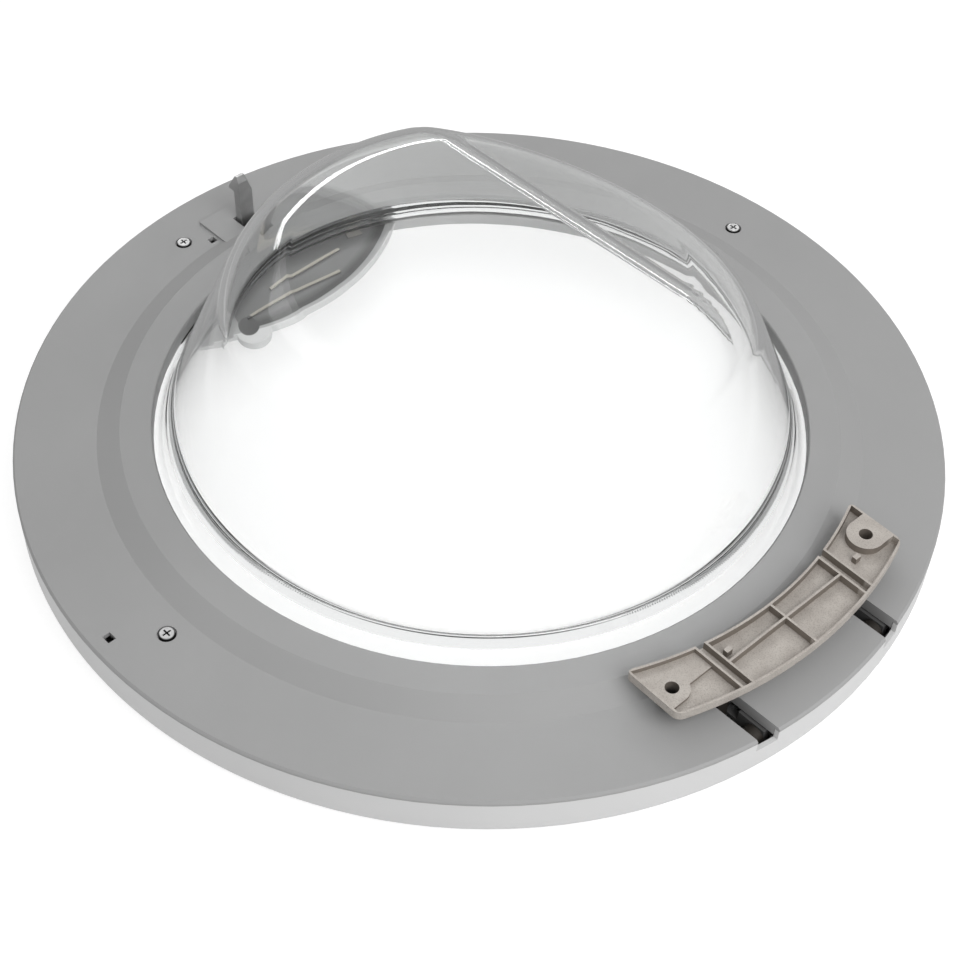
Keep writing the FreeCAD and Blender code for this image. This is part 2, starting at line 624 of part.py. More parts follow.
def hinge_bearing(y):
    near, far = ARM_W / 2 + CHEEK_GAP, cheek_far()
    body = box(AXIS_X - BEARING_IN, AXIS_X + BEARING_OUT, y - far, y + far, WALL_T, BEARING_TOP)
    body = body.cut(box(0, RIM_R, y - near, y + near, WALL_T + BEARING_BASE, FACE_Z))
    body = body.cut(box(0, AXIS_X + BEARING_WEB, y - near, y + near, 0, FACE_Z))
    for s in (-1, 1):
        a, b = sorted((y + s * near, y + s * (BEARING_EAR_Y + BOSS_R)))
        ear = box(BEARING_EAR_X - BOSS_R, AXIS_X - BEARING_IN + 1, a, b, BOSS_TOP, BOSS_TOP + EAR_T)
        hole = post(BEARING_EAR_X, y + s * BEARING_EAR_Y, SMALL_SCREW_R + HOLE_GAP, 0, FACE_Z)
        body = body.fuse(ear).cut(hole)
    body = body.cut(rod(AXIS_X, AXIS_Z, PIN_R + PRESS_GAP, y - far - 1, y + far + 1))
    inside = post(0, 0, RIM_R - WALL_T - POCKET_GAP, RIM_ROUND, FACE_Z)
    inside = inside.fuse(post(0, 0, RIM_R - RIM_ROUND - POCKET_GAP, 0, RIM_ROUND))
    return body.common(inside).removeSplitter()


def frame_screws():
    z = FACE_Z - HEAD_SINK
    screws = []
    for x, y in screw_spots():
        screw = cross_screw(x, y, z, SCREW_R, SCREW_LEN, HEAD_R, HEAD_H)
        screws.append(screw.cut(cross_recess(x, y, z + HEAD_H)))
    return Part.makeCompound(screws)


def main():
    os.makedirs("parts", exist_ok=True)
    nodes = {
        "front_frame": front_frame(),
        "inner_frame": inner_frame(),
        "glass_bowl": glass_bowl(),
        "handle_shell": handle_shell(),
        "handle_screws": small_screws(ear_spots()["handle"]),
        "frame_screws": frame_screws(),
        "hook": hook(),
        "hook_pin": hook_pin(),
        "hook_spring": hook_spring(),
        "hook_bracket": hook_bracket(),
        "hook_bracket_screws": small_screws(ear_spots()["hook"]),
        "hinge_casting": hinge_casting(),
        "bearing_screws": small_screws(ear_spots()["bearing"]),
    }
    for name, y in ARM_YS.items():
        nodes["hinge_bush_" + name] = hinge_bush(y)
        nodes["hinge_pin_" + name] = hinge_pin(y)
        nodes["hinge_bearing_" + name] = hinge_bearing(y)
    for name, shape in nodes.items():
        shape.exportStep("parts/" + name + ".step")


main()
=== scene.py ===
import bpy, bmesh, math
from mathutils import Vector, Matrix
from mathutils.geometry import delaunay_2d_cdt


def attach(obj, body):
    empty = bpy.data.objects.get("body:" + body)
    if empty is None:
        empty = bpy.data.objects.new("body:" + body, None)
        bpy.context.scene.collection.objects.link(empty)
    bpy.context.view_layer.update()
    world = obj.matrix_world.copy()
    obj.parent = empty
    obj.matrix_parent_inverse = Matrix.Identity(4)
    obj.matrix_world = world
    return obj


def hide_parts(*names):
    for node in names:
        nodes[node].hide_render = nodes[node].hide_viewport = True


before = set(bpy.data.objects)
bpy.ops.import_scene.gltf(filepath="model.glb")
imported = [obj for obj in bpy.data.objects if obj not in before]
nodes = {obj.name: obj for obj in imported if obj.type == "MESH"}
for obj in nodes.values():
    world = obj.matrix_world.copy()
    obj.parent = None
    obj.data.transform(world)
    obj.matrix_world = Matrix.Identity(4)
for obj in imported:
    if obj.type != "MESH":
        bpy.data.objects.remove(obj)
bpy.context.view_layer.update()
scene = bpy.context.scene
scene.view_settings.view_transform = 'Standard'

MM = 0.001
CENTRE = (0.0, 0.0)

# rings as in the solids, millimetres
FACE_Z = 24.4
COVER_Z = 21.9
SEAT_Z = 17.4
OPENING_R = 169.4
RIM_R = 240.0
# wall of the cover's opening, where painted shade darkens its tone
LIP_SHADE_BAND = (OPENING_R + 0.9, OPENING_R + 0.3)

# tones of the finger recess, painted light and painted shade: where each starts and where it is full,
# millimetres
MOON_SPOT = (-247.0, -1.0)
MOON_R = 123.6
MOON_SHADE = (MOON_R - 13.0, MOON_R - 8.0)
MOON_LIT_EDGE = (MOON_R - 5.4, MOON_R - 4.8)
MOON_RIM_LIGHT = (MOON_R - 0.8, MOON_R - 0.3)
RIB_TOP_LIGHT_Z = (16.8, 17.3)
TRAY_LOW_Y = -54.0
TRAY_LOW_LIT_EDGE = (TRAY_LOW_Y + 1.0, TRAY_LOW_Y - 0.5)
LOBE_SPOT = (-139.8, -48.8)
LOBE_SHADE_BAND = (9.8, 9.0)
SLIT_SHADOW_BAND = (167.2, 168.6)

# painted shade on the screws and the casting, in the same way
RECESS_SHADE_Z = (25.0, 24.6)
CAST_WALL_SHADE_R = (219.5, 218.5)
CAST_WALL_SHADE_Y = (-76.8, -76.0)
CAST_LOW_SHADE_Z = (33.0, 30.0)
# share of facing up at which painted shade on a casting's wall starts and is darkest
CAST_SHADE_UPRIGHT = (0.6, 0.2)

# heights of surface relief, metres
GRAIN_H = 0.0002
BLOTCH_H = 0.0006
WAVE_H = 0.0008

# bounces after which light caught in the glass is let out
TRAPPED_GLOSSY = 2.5
TRAPPED_RAYS = 9.5


def srgb(v):
    """Linear value of an sRGB grey or colour given in 0 to 255."""
    def one(c):
        c = c / 255.0
        return c / 12.92 if c <= 0.04045 else ((c + 0.055) / 1.055) ** 2.4
    if isinstance(v, (int, float)):
        return (one(v), one(v), one(v), 1.0)
    return tuple(one(c) for c in v) + (1.0,)


def level(v):
    """A plain value as a ramp's colour."""
    return (v, v, v, 1.0)


class Nodes:
    """Small helper to wire a material's node tree."""

    def __init__(self, name):
        self.mat = bpy.data.materials.new(name)
        self.mat.use_nodes = True
        self.tree = self.mat.node_tree
        self.tree.nodes.clear()
        self.out = self.new('ShaderNodeOutputMaterial')
        self.place = None

    def new(self, kind):
        return self.tree.nodes.new(kind)

    def link(self, a, b):
        self.tree.links.new(a, b)

    def coords(self):
        if self.place is None:
            self.place = self.new('ShaderNodeTexCoord').outputs['Object']
        return self.place

    def noise(self, scale, detail=3.0, rough=0.55):
        n = self.new('ShaderNodeTexNoise')
        n.inputs['Scale'].default_value = scale
        n.inputs['Detail'].default_value = detail
        n.inputs['Roughness'].default_value = rough
        self.link(self.coords(), n.inputs['Vector'])
        return n.outputs['Fac']

    def ramp(self, fac, stops):
        r = self.new('ShaderNodeValToRGB')
        els = r.color_ramp.elements
        while len(els) < len(stops):
            els.new(0.5)
        for e, (p, c) in zip(els, stops):
            e.position = p
            e.color = c
        self.link(fac, r.inputs['Fac'])
        return r.outputs['Color']

    def fade(self, value, ends):
        """0 at the first end and before it, 1 at the second and past it."""
        n = self.new('ShaderNodeMapRange')
        n.inputs['From Min'].default_value, n.inputs['From Max'].default_value = ends
        self.link(value, n.inputs['Value'])
        return n.outputs['Result']

    def band(self, length, ends):
        """A fade over a length, between ends in millimetres."""
        return self.fade(length, (ends[0] * MM, ends[1] * MM))

    def reach(self, spot):
        """Distance in the ring's plane from a point given in millimetres."""
        cut = self.new('ShaderNodeVectorMath')
        cut.operation = 'MULTIPLY'
        cut.inputs[1].default_value = (1, 1, 0)
        self.link(self.coords(), cut.inputs[0])
        dist = self.new('ShaderNodeVectorMath')
        dist.operation = 'DISTANCE'
        dist.inputs[1].default_value = (spot[0] * MM, spot[1] * MM, 0)
        self.link(cut.outputs['Vector'], dist.inputs[0])
        return dist.outputs['Value']

    def facing(self):
        """How far the surface faces up: 1 level, 0 upright."""
        n = self.new('ShaderNodeSeparateXYZ')
        self.link(self.new('ShaderNodeTexCoord').outputs['Normal'], n.inputs[0])
        return n.outputs['Z']

    def axis(self, name):
        n = self.new('ShaderNodeSeparateXYZ')
        self.link(self.coords(), n.inputs[0])
        return n.outputs[name]

    def math(self, op, a, b):
        n = self.new('ShaderNodeMath')
        n.operation = op
        for i, v in enumerate((a, b)):
            if isinstance(v, (int, float)):
                n.inputs[i].default_value = v
            else:
                self.link(v, n.inputs[i])
        return n.outputs[0]

    def mix(self, fac, a, b, blend='MIX'):
        n = self.new('ShaderNodeMix')
        n.data_type = 'RGBA'
        n.blend_type = blend
        if isinstance(fac, (int, float)):
            n.inputs[0].default_value = fac
        else:
            self.link(fac, n.inputs[0])
        for i, v in ((6, a), (7, b)):
            if isinstance(v, tuple):
                n.inputs[i].default_value = v
            else:
                self.link(v, n.inputs[i])
        return n.outputs[2]

    def bump(self, height, strength, distance, normal=None):
        b = self.new('ShaderNodeBump')
        b.inputs['Strength'].default_value = strength
        b.inputs['Distance'].default_value = distance
        self.link(height, b.inputs['Height'])
        if normal is not None:
            self.link(normal, b.inputs['Normal'])
        return b.outputs['Normal']

    def shader(self, kind, **kw):
        """A shader node with its sockets set; an underscore stands for a space."""
        n = self.new('ShaderNode' + kind)
        for k, v in kw.items():
            n.inputs[k.replace('_', ' ')].default_value = v
        return n

    def blend(self, fac, a, b):
        """Shader a where the factor is 0, b where it is 1."""
        n = self.new('ShaderNodeMixShader')
        self.link(fac, n.inputs['Fac'])
        self.link(a, n.inputs[1])
        self.link(b, n.inputs[2])
        return n.outputs[0]

    def principled(self, **kw):
        p = self.shader('BsdfPrincipled', **kw)
        self.link(p.outputs['BSDF'], self.out.inputs['Surface'])
        return p

    def gloss(self, p, fac, low, high):
        """Uneven roughness between two values."""
        self.link(self.ramp(fac, [(0.3, level(low)), (0.7, level(high))]), p.inputs['Roughness'])

    def moulded(self, p, low, high, rough, grain_scale, grain):
        """Slow tone drift, uneven gloss and fine grain of a moulding; gives the tone back."""
        tone = self.ramp(self.noise(9.0, 2.0), [(0.3, srgb(low)), (0.7, srgb(high))])
        self.gloss(p, self.noise(40.0), rough - 0.05, rough + 0.05)
        self.link(self.bump(self.noise(grain_scale, 2.0), grain, GRAIN_H), p.inputs['Normal'])
        return tone


def plastic(name, low, high, rough, grain_scale, grain, spec=0.5, coat=0.0):
    """Moulded plastic of one colour."""
    m = Nodes(name)
    p = m.principled(Specular_IOR_Level=spec, Coat_Weight=coat, Coat_Roughness=0.15)
    m.link(m.moulded(p, low, high, rough, grain_scale, grain), p.inputs['Base Color'])
    return m.mat


def ring_plastic(name):
    """Matt grey cover, with painted shade down the wall of its opening."""
    m = Nodes(name)
    p = m.principled(Specular_IOR_Level=0.35)
    tone = m.moulded(p, 160, 165, 0.55, 1500.0, 0.22)
    # painted shade down the wall of the opening
    tone = m.mix(m.band(m.reach(CENTRE), LIP_SHADE_BAND), tone, srgb(132))
    m.link(tone, p.inputs['Base Color'])
    return m.mat


def handle_plastic(name):
    """Finger recess: painted light on its rim's edge, outer wall and rib tops, painted shade on the floor
    inside its rim and deepest in the round pad, and a painted shadow at the slit.
    """
    m = Nodes(name)
    p = m.principled(Specular_IOR_Level=0.4)
    shade, rib_top_light, lit_edge_tone, rim, slit_shadow = srgb(84), srgb((172, 168, 158)), srgb(178), srgb(222), srgb(30)
    tone = m.moulded(p, 116, 126, 0.5, 1200.0, 0.2)
    out = m.reach(MOON_SPOT)
    # painted light: a pale band on the rim's top and the floor next to it, and along the tray's low side
    edge = m.math('MAXIMUM', m.band(out, MOON_LIT_EDGE), m.band(m.axis('Y'), TRAY_LOW_LIT_EDGE))
    # painted shade on the floor inside the rim
    tone = m.mix(m.band(out, MOON_SHADE), tone, shade)
    # painted highlight on the rib tops
    tone = m.mix(m.band(m.axis('Z'), RIB_TOP_LIGHT_Z), tone, rib_top_light)
    tone = m.mix(edge, tone, lit_edge_tone)
    # painted light on the outermost rim and its outer wall, which lies in shade
    tone = m.mix(m.band(out, MOON_RIM_LIGHT), tone, rim)
    # painted shade in the round pad
    tone = m.mix(m.band(m.reach(LOBE_SPOT), LOBE_SHADE_BAND), tone, shade)
    # painted shadow: a near-black band where the gap by the opening's lip lies in shade
    tone = m.mix(m.band(m.reach(CENTRE), SLIT_SHADOW_BAND), tone, slit_shadow)
    m.link(tone, p.inputs['Base Color'])
    return m.mat


def metal(name, low, high, rough, grain_scale, grain):
    """Bare or plated metal with a fine grain."""
    m = Nodes(name)
    p = m.principled(Metallic=1.0)
    m.link(m.ramp(m.noise(120.0, 4.0), [(0.25, srgb(low)), (0.75, srgb(high))]), p.inputs['Base Color'])
    m.gloss(p, m.noise(300.0), rough - 0.08, rough + 0.08)
    m.link(m.bump(m.noise(grain_scale, 4.0), grain, GRAIN_H), p.inputs['Normal'])
    return m.mat


def screw_steel(name):
    """Plated screw head, with painted shade down in its cross recess."""
    m = Nodes(name)
    p = m.principled(Metallic=0.6, Specular_IOR_Level=0.5)
    tone = m.ramp(m.noise(400.0, 3.0), [(0.3, srgb(196)), (0.7, srgb(216))])
    # painted shade down in the cross recess
    m.link(m.mix(m.band(m.axis('Z'), RECESS_SHADE_Z), tone, srgb(26)), p.inputs['Base Color'])
    m.gloss(p, m.noise(600.0), 0.34, 0.5)
    m.link(m.bump(m.noise(1500.0), 0.1, GRAIN_H), p.inputs['Normal'])
    return m.mat


def zinc_cast(name):
    """Bare die casting: warm grey, finely speckled, with painted shade on its upright walls and low down, in
    its bores and below the leaf.
    """
    m = Nodes(name)
    p = m.principled(Metallic=0.25, Specular_IOR_Level=0.4)
    speck = m.noise(1500.0, 2.0, 0.6)
    blotch = m.noise(120.0, 4.0, 0.6)
    tone = m.ramp(blotch, [(0.3, srgb((184, 177, 170))), (0.7, srgb((200, 194, 187)))])
    fleck = m.ramp(speck, [(0.34, srgb((150, 143, 137))), (0.5, srgb(255))])
    tone = m.mix(0.32, tone, fleck, 'MULTIPLY')
    # painted shade on the upright walls of the pockets
    wall = m.fade(m.math('ABSOLUTE', m.facing(), 0.0), CAST_SHADE_UPRIGHT)
    wall = m.math('MULTIPLY', wall, m.band(m.reach(CENTRE), CAST_WALL_SHADE_R))
    wall = m.math('MULTIPLY', wall, m.band(m.axis('Y'), CAST_WALL_SHADE_Y))
    tone = m.mix(wall, tone, srgb((132, 124, 116)))
    # painted shade low down: in the bores, on the bosses and on the arms under the leaf
    tone = m.mix(m.band(m.axis('Z'), CAST_LOW_SHADE_Z), tone, srgb((58, 54, 50)))
    m.link(tone, p.inputs['Base Color'])
    m.gloss(p, blotch, 0.42, 0.58)
    m.link(m.bump(speck, 0.3, GRAIN_H, m.bump(blotch, 0.15, BLOTCH_H)), p.inputs['Normal'])
    return m.mat


def clear_glass(name):
    """Clear pressed glass with a faint waviness; passes lamp light and lets out light caught inside it."""
    m = Nodes(name)
    p = m.shader('BsdfPrincipled', Base_Color=(0.97, 0.975, 0.973, 1), Transmission_Weight=1.0, IOR=1.45)
    m.link(m.ramp(m.noise(60.0, 2.0), [(0.4, level(0.0)), (0.8, level(0.02))]), p.inputs['Roughness'])
    m.link(m.bump(m.noise(18.0, 2.0), 0.10, WAVE_H), p.inputs['Normal'])
    clear = m.shader('BsdfTransparent', Color=(0.95, 0.955, 0.955, 1))
    path = m.new('ShaderNodeLightPath')
    trapped = m.math('MAXIMUM', m.math('GREATER_THAN', path.outputs['Glossy Depth'], TRAPPED_GLOSSY),
                     m.math('GREATER_THAN', path.outputs['Ray Depth'], TRAPPED_RAYS))
    through = m.math('MAXIMUM', path.outputs['Is Shadow Ray'], trapped)
    m.link(m.blend(through, p.outputs['BSDF'], clear.outputs['BSDF']), m.out.inputs['Surface'])
    return m.mat


MAT = {
    "silver": plastic("silver_plastic", 209, 215, 0.40, 900.0, 0.10, coat=0.1),
    "grey": ring_plastic("grey_plastic"),
    "handle": handle_plastic("handle_plastic"),
    "dark": plastic("dark_plastic", 40, 48, 0.5, 1200.0, 0.2),
    "bearing": plastic("bearing_plastic", 92, 100, 0.5, 1200.0, 0.2),
    "bush": plastic("bush_plastic", 205, 214, 0.4, 1200.0, 0.1),
    "steel": metal("plated_steel", 200, 224, 0.32, 1500.0, 0.1),
    "screw": screw_steel("screw_steel"),
    "hook": metal("hook_metal", 178, 200, 0.40, 1100.0, 0.2),
    "zinc": zinc_cast("zinc_casting"),
    "glass": clear_glass("clear_glass"),
}

# material of each node
DRESS = {
    "front_frame": "silver", "inner_frame": "grey", "handle_shell": "handle", "glass_bowl": "glass",
    "handle_screws": "steel", "frame_screws": "screw", "hook": "hook", "hook_pin": "steel",
    "hook_spring": "steel", "hook_bracket": "dark", "hook_bracket_screws": "steel",
    "hinge_casting": "zinc", "hinge_bush_upper": "bush", "hinge_bush_lower": "bush",
    "hinge_pin_upper": "steel", "hinge_pin_lower": "steel",
    "hinge_bearing_upper": "bearing", "hinge_bearing_lower": "bearing", "bearing_screws": "steel",
}

# width of the soft edge on each moulding, millimetres
EDGE = {"front_frame": 0.4, "inner_frame": 0.5, "handle_shell": 0.35, "hinge_casting": 0.45, "hook": 0.5,
        "frame_screws": 0.25, "hinge_bearing_upper": 0.3, "hinge_bearing_lower": 0.3, "hook_bracket": 0.3}

# points nearer than this are one, in a node's mesh and in a mesh that was cut
NODE_WELD = 0.00002
CUT_WELD = 0.00001
SHARP = math.radians(30)
LEVEL_FACES = math.radians(0.1)


def soft_edges(obj, width):
    """Small rounding on every sharp edge of a moulding."""
    weld = obj.modifiers.new("weld", 'WELD')
    weld.merge_threshold = NODE_WELD
    soft = obj.modifiers.new("edge", 'BEVEL')
    soft.width = width * MM
    soft.segments = 3
    soft.limit_method = 'ANGLE'
    soft.angle_limit = SHARP
    soft.use_clamp_overlap = True
    soft.harden_normals = True
    soft.miter_outer = 'MITER_ARC'


for name, key in DRESS.items():
    obj = nodes[name]
    obj.data.materials.clear()
    obj.data.materials.append(MAT[key])
    if name in EDGE:
        soft_edges(obj, EDGE[name])


# hinge leaf, millimetres
HINGE_Y = -1.0
LEAF_IN_R = 192.5
LEAF_OUT_R = 222.6
LEAF_HALF_Y = 77.9
LEAF_TURN = math.radians(-1.87)
LEAF_Z0 = 33.5
LEAF_Z1 = 39.4
LEAF_EDGE = 1.4
LEAF_WALL = 1.2
# rounding of the leaf's corners, and the shares of it at which the corner and the long arc end
CORNER_OUT = 4.2
CORNER_IN = 3.8
CORNER_SHARE = 0.92
ARC_SHARE = 0.94
CORNER_POINTS = 8
LONG_ARC_POINTS = 48
POCKET_Z = LEAF_Z1 - 4.2
SHELF_Z = LEAF_Z1 - 2.6
LONG_RIB_X = LEAF_IN_R + 10.5
GROOVE_NEAR = 39.7
GROOVE_FAR = 44.3
GROOVE_PAST = 2
HOLE_X = LEAF_IN_R + 2.4
HOLE_HALF = 67.5
HOLE_R = 3.4
BOSS_R = 6.2
BOSS_Z = 27.0
LOW_R = 8.5
LOW_OUT = 3.8
HIGH_R = 9.4
# each nub's corner from the inner arc and from the ring's centre line, and its three sizes
NUBS = [(4.0, -36.6), (7.0, 51.0)]
NUB = (2.6, 3.6, 3.6)
# how far a fused block runs into the leaf, and how far a cutter stands past it
NUB_SINK = 0.5
BOSS_SINK = 0.6
PAST = 1
# above this height the node's casting is the leaf, below it the arms, within the box that is cut away
ARM_CUT_Z = 34.4
ARM_CUT_TOP = 60
ARM_CUT_BOX = (150, 260, -110, 110)

# rim notches, millimetres
ARM_YS = (-48.5, 40.0)
SLOT_HALF = 6.0
NOTCH_Z = 16.4
NOTCH_TOP = 30.0
AXIS_X = 225.0


def prism(outlines, z0, z1):
    """Object with one upright block per outline."""
    bm = bmesh.new()
    for outline in outlines:
        low = [bm.verts.new((x * MM, y * MM, z0 * MM)) for x, y in outline]
        high = [bm.verts.new((x * MM, y * MM, z1 * MM)) for x, y in outline]
        bm.faces.new(low)
        bm.faces.new(high)
        for i in range(len(low)):
            j = (i + 1) % len(low)
            bm.faces.new((low[i], low[j], high[j], high[i]))
    bmesh.ops.recalc_face_normals(bm, faces=bm.faces)
    mesh = bpy.data.meshes.new("tool")
    bm.to_mesh(mesh)
    bm.free()
    obj = bpy.data.objects.new("tool", mesh)
    scene.collection.objects.link(obj)
    return obj


def combine(obj, tool, operation):
    """Cut the tool from the object or fuse it on, and drop the tool."""
    mod = obj.modifiers.new("combine", 'BOOLEAN')
    mod.operation = operation
    mod.solver = 'EXACT'
    mod.object = tool
    bpy.context.view_layer.update()
    mesh = bpy.data.meshes.new_from_object(obj.evaluated_get(bpy.context.evaluated_depsgraph_get()))
    obj.modifiers.clear()
    obj.data = mesh
    bpy.data.objects.remove(tool)


def node_copy(name):
    """Loose copy of a node's mesh with its seams closed, to be cut."""
    obj = bpy.data.objects.new("tool", nodes[name].data.copy())
    scene.collection.objects.link(obj)
    bm = bmesh.new()
    bm.from_mesh(obj.data)
    bmesh.ops.remove_doubles(bm, verts=bm.verts, dist=NODE_WELD)
    bm.to_mesh(obj.data)
    bm.free()
    return obj


def dress(obj, name, node, key, body):
    """Finish a made piece and let it stand for its node."""
    bm = bmesh.new()
    bm.from_mesh(obj.data)
    bmesh.ops.remove_doubles(bm, verts=bm.verts, dist=CUT_WELD)
    bmesh.ops.dissolve_limit(bm, angle_limit=LEVEL_FACES, verts=bm.verts, edges=bm.edges)
    bm.to_mesh(obj.data)
    bm.free()
    obj.name = obj.data.name = name
    obj.data.polygons.foreach_set("use_smooth", [True] * len(obj.data.polygons))
    obj.data.set_sharp_from_angle(angle=SHARP)
    obj.data.materials.clear()
    obj.data.materials.append(MAT[key])
    soft_edges(obj, EDGE[node])
    flat = obj.modifiers.new("flat", 'WEIGHTED_NORMAL')
    flat.keep_sharp = True
    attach(obj, body)
    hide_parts(node)


def block(x0, x1, y0, y1):
    return [(x0, y0), (x1, y0), (x1, y1), (x0, y1)]


def circle(x, y, r, start=0.0, end=360.0, n=36):
    """Points of a circle, or of an arc with both its ends."""
    count = n if end - start == 360 else n + 1
    turns = [math.radians(start + (end - start) * i / n) for i in range(count)]
    return [(x + r * math.cos(t), y + r * math.sin(t)) for t in turns]


def bow(r, y0, y1, n=24):
    """Points of an arc about the ring's centre, between two places along Y."""
    ys = [y0 + (y1 - y0) * i / n for i in range(n + 1)]
    return [(math.sqrt(r * r - y * y), y) for y in ys]


def sector(r0, r1, y0, y1, x_min=0.0, x_max=RIM_R):
    """Outline between two arcs about the ring's centre."""
    inner = [(max(x, x_min), y) for x, y in bow(r0, y1, y0)]
    return [(min(x, x_max), y) for x, y in bow(r1, y0, y1)] + inner


def bend(a, tip, b, t):
    """Point of a curve that leaves a towards the tip and comes from it to b."""
    return (1 - t) ** 2 * a + 2 * t * (1 - t) * tip + t * t * b


def leaf_outline():
    """Plan of the leaf with its four rounded corners."""
    y0, y1 = HINGE_Y - LEAF_HALF_Y, HINGE_Y + LEAF_HALF_Y
    corners = [(LEAF_OUT_R, y1, CORNER_OUT), (LEAF_IN_R, y1, CORNER_IN),
               (LEAF_IN_R, y0, CORNER_IN), (LEAF_OUT_R, y0, CORNER_OUT)]
    out_end, in_end = CORNER_OUT * ARC_SHARE, CORNER_IN * CORNER_SHARE
    out = bow(LEAF_OUT_R, y0 + out_end, y1 - out_end, LONG_ARC_POINTS)
    for k, (r, y, trim) in enumerate(corners):
        tip = Vector((math.sqrt(r * r - y * y), y))
        side = -1 if y == y1 else 1
        along = Vector(bow(r, y + side * trim * CORNER_SHARE, y, 1)[0])
        across = tip + Vector((trim * (-1 if r == LEAF_OUT_R else 1), 0))
        a, b = (along, across) if k in (0, 2) else (across, along)
        for i in range(1, CORNER_POINTS):
            q = bend(a, tip, b, i / CORNER_POINTS)
            out.append((q.x, q.y))
        if k == 1:
            out += bow(LEAF_IN_R, y1 - in_end, y0 + in_end, LONG_ARC_POINTS)
    return out


def leaf_blank():
    """Solid leaf with the edge of its underside rounded."""
    leaf = prism([leaf_outline()], LEAF_Z0, LEAF_Z1)
    bm = bmesh.new()
    bm.from_mesh(leaf.data)
    rim = [e for e in bm.edges if all(abs(v.co.z - LEAF_Z0 * MM) < 1e-6 for v in e.verts)]
    bmesh.ops.bevel(bm, geom=rim, offset=LEAF_EDGE * MM, segments=5, profile=0.5, affect='EDGES')
    bm.to_mesh(leaf.data)
    bm.free()
    return leaf


def build_casting():
    """Hinge casting: thin walls round its pockets, a sunk shelf at the lower hole, a boss at the upper."""
    y, w, top = HINGE_Y, LEAF_WALL, LEAF_Z1 + PAST
    r0, r1 = LEAF_IN_R + w, LEAF_OUT_R - w
    low0, low1 = y - LEAF_HALF_Y + w, y - GROOVE_FAR - w
    high0, high1 = y + GROOVE_FAR + w, y + LEAF_HALF_Y - w
    leaf = leaf_blank()
    deep = []
    for y0, y1 in ((y - GROOVE_NEAR + w, y - w / 2), (y + w / 2, y + GROOVE_NEAR - w)):
        deep.append(sector(r0, r1, y0, y1, x_max=LONG_RIB_X - w / 2))
        deep.append(sector(r0, r1, y0, y1, x_min=LONG_RIB_X + w / 2))
    lip = math.degrees(math.acos(LOW_OUT / LOW_R))
    deep.append([(HOLE_X + LOW_OUT, low1)] + circle(HOLE_X, y - HOLE_HALF, LOW_R, lip, 0.0, 12)
                + [(HOLE_X + LOW_R, low0)] + bow(r1, low0, low1))
    deep.append(bow(r0, high0, high1) + [(HOLE_X - HIGH_R, high1)]
                + circle(HOLE_X, y + HOLE_HALF, HIGH_R, 180.0, 360.0, 24) + [(HOLE_X + HIGH_R, high1)]
                + bow(r1, high1, high0))
    for s in (-1, 1):
        y0, y1 = sorted((y + s * GROOVE_NEAR, y + s * GROOVE_FAR))
        deep.append(sector(LEAF_IN_R - GROOVE_PAST, r1, y0, y1))
    combine(leaf, prism([sector(r0, r1, low0, low1)], SHELF_Z, top), 'DIFFERENCE')
    combine(leaf, prism(deep, POCKET_Z, top), 'DIFFERENCE')
    nubs = [block(LEAF_IN_R + a, LEAF_IN_R + a + NUB[0], b, b + NUB[1]) for a, b in NUBS]
    combine(leaf, prism(nubs, POCKET_Z - NUB_SINK, POCKET_Z + NUB[2]), 'UNION')
    ends = [y - HOLE_HALF, y + HOLE_HALF]
    bosses = [circle(HOLE_X, e, BOSS_R) for e in ends]
    holes = [circle(HOLE_X, e, HOLE_R) for e in ends]
    combine(leaf, prism(bosses, BOSS_Z, POCKET_Z - BOSS_SINK), 'UNION')
    combine(leaf, prism(holes, BOSS_Z - PAST, top), 'DIFFERENCE')
    pivot = Matrix.Translation((HOLE_X * MM, y * MM, 0))
    leaf.data.transform(pivot @ Matrix.Rotation(LEAF_TURN, 4, 'Z') @ pivot.inverted())
    arms = node_copy("hinge_casting")
    combine(arms, prism([block(*ARM_CUT_BOX)], ARM_CUT_Z, ARM_CUT_TOP), 'DIFFERENCE')
    combine(leaf, arms, 'UNION')
    dress(leaf, "hinge_casting_cast", "hinge_casting", "zinc", "hinge")


def build_rim():
    """Front frame with its rim notched deep enough for the hinge arms."""
    rim = node_copy("front_frame")
    notches = [block(AXIS_X, RIM_R + PAST, y - SLOT_HALF, y + SLOT_HALF) for y in ARM_YS]
    combine(rim, prism(notches, NOTCH_Z, NOTCH_TOP), 'DIFFERENCE')
    dress(rim, "front_frame_shell", "front_frame", "silver", "door")


build_casting()
build_rim()


# glass bowl, millimetres
FLANGE_R = 182.0
ROOT_R = 166.5
END_R = 120.0
END_H = 103.9
CREST_Y = 53.4
DEFLECTOR = math.radians(25.0)
WALL_T = 4.5
END_T = 4.5
OUT_ROUND = 24.0
IN_ROUND = 19.5
RIDGE_OUT = 2.4
RIDGE_IN = 2.0
ROOT_UP = 16.0
ROOT_OUT = 2.5
MOUTH_UP = 11.0
MOUTH_OUT = 3.0
FLANGE_EDGE = 1.0
FLANGE_TURN = 0.3
TILT = math.atan2(ROOT_R - END_R, FACE_Z + END_H - COVER_Z)
TAPER = math.tan(TILT)
# a point inside the bowl from which its whole corner is in view
HEART = Vector((0, 0, COVER_Z + 30))
# longer than any distance or height within the bowl
BEYOND = 200.0
SHOT = 300.0
# step by which a normal is measured
PROBE = 0.02

# points of the bowl's mesh: columns round it, rings over the corner, down the wall and along each bend
COLUMNS = 720
CORNER_RINGS = 12
WALL_RINGS = 6
BEND_RINGS = 40
RIDGE_CHORDS = 8
# angle before the X axis at which the rings of points start, away from the ridge's ends
SEAM_PHI = 2.8
# least angle between two of the ridge's ends, and between one of them and a column
CHORD_GAP = 0.003
COLUMN_GAP = 0.004


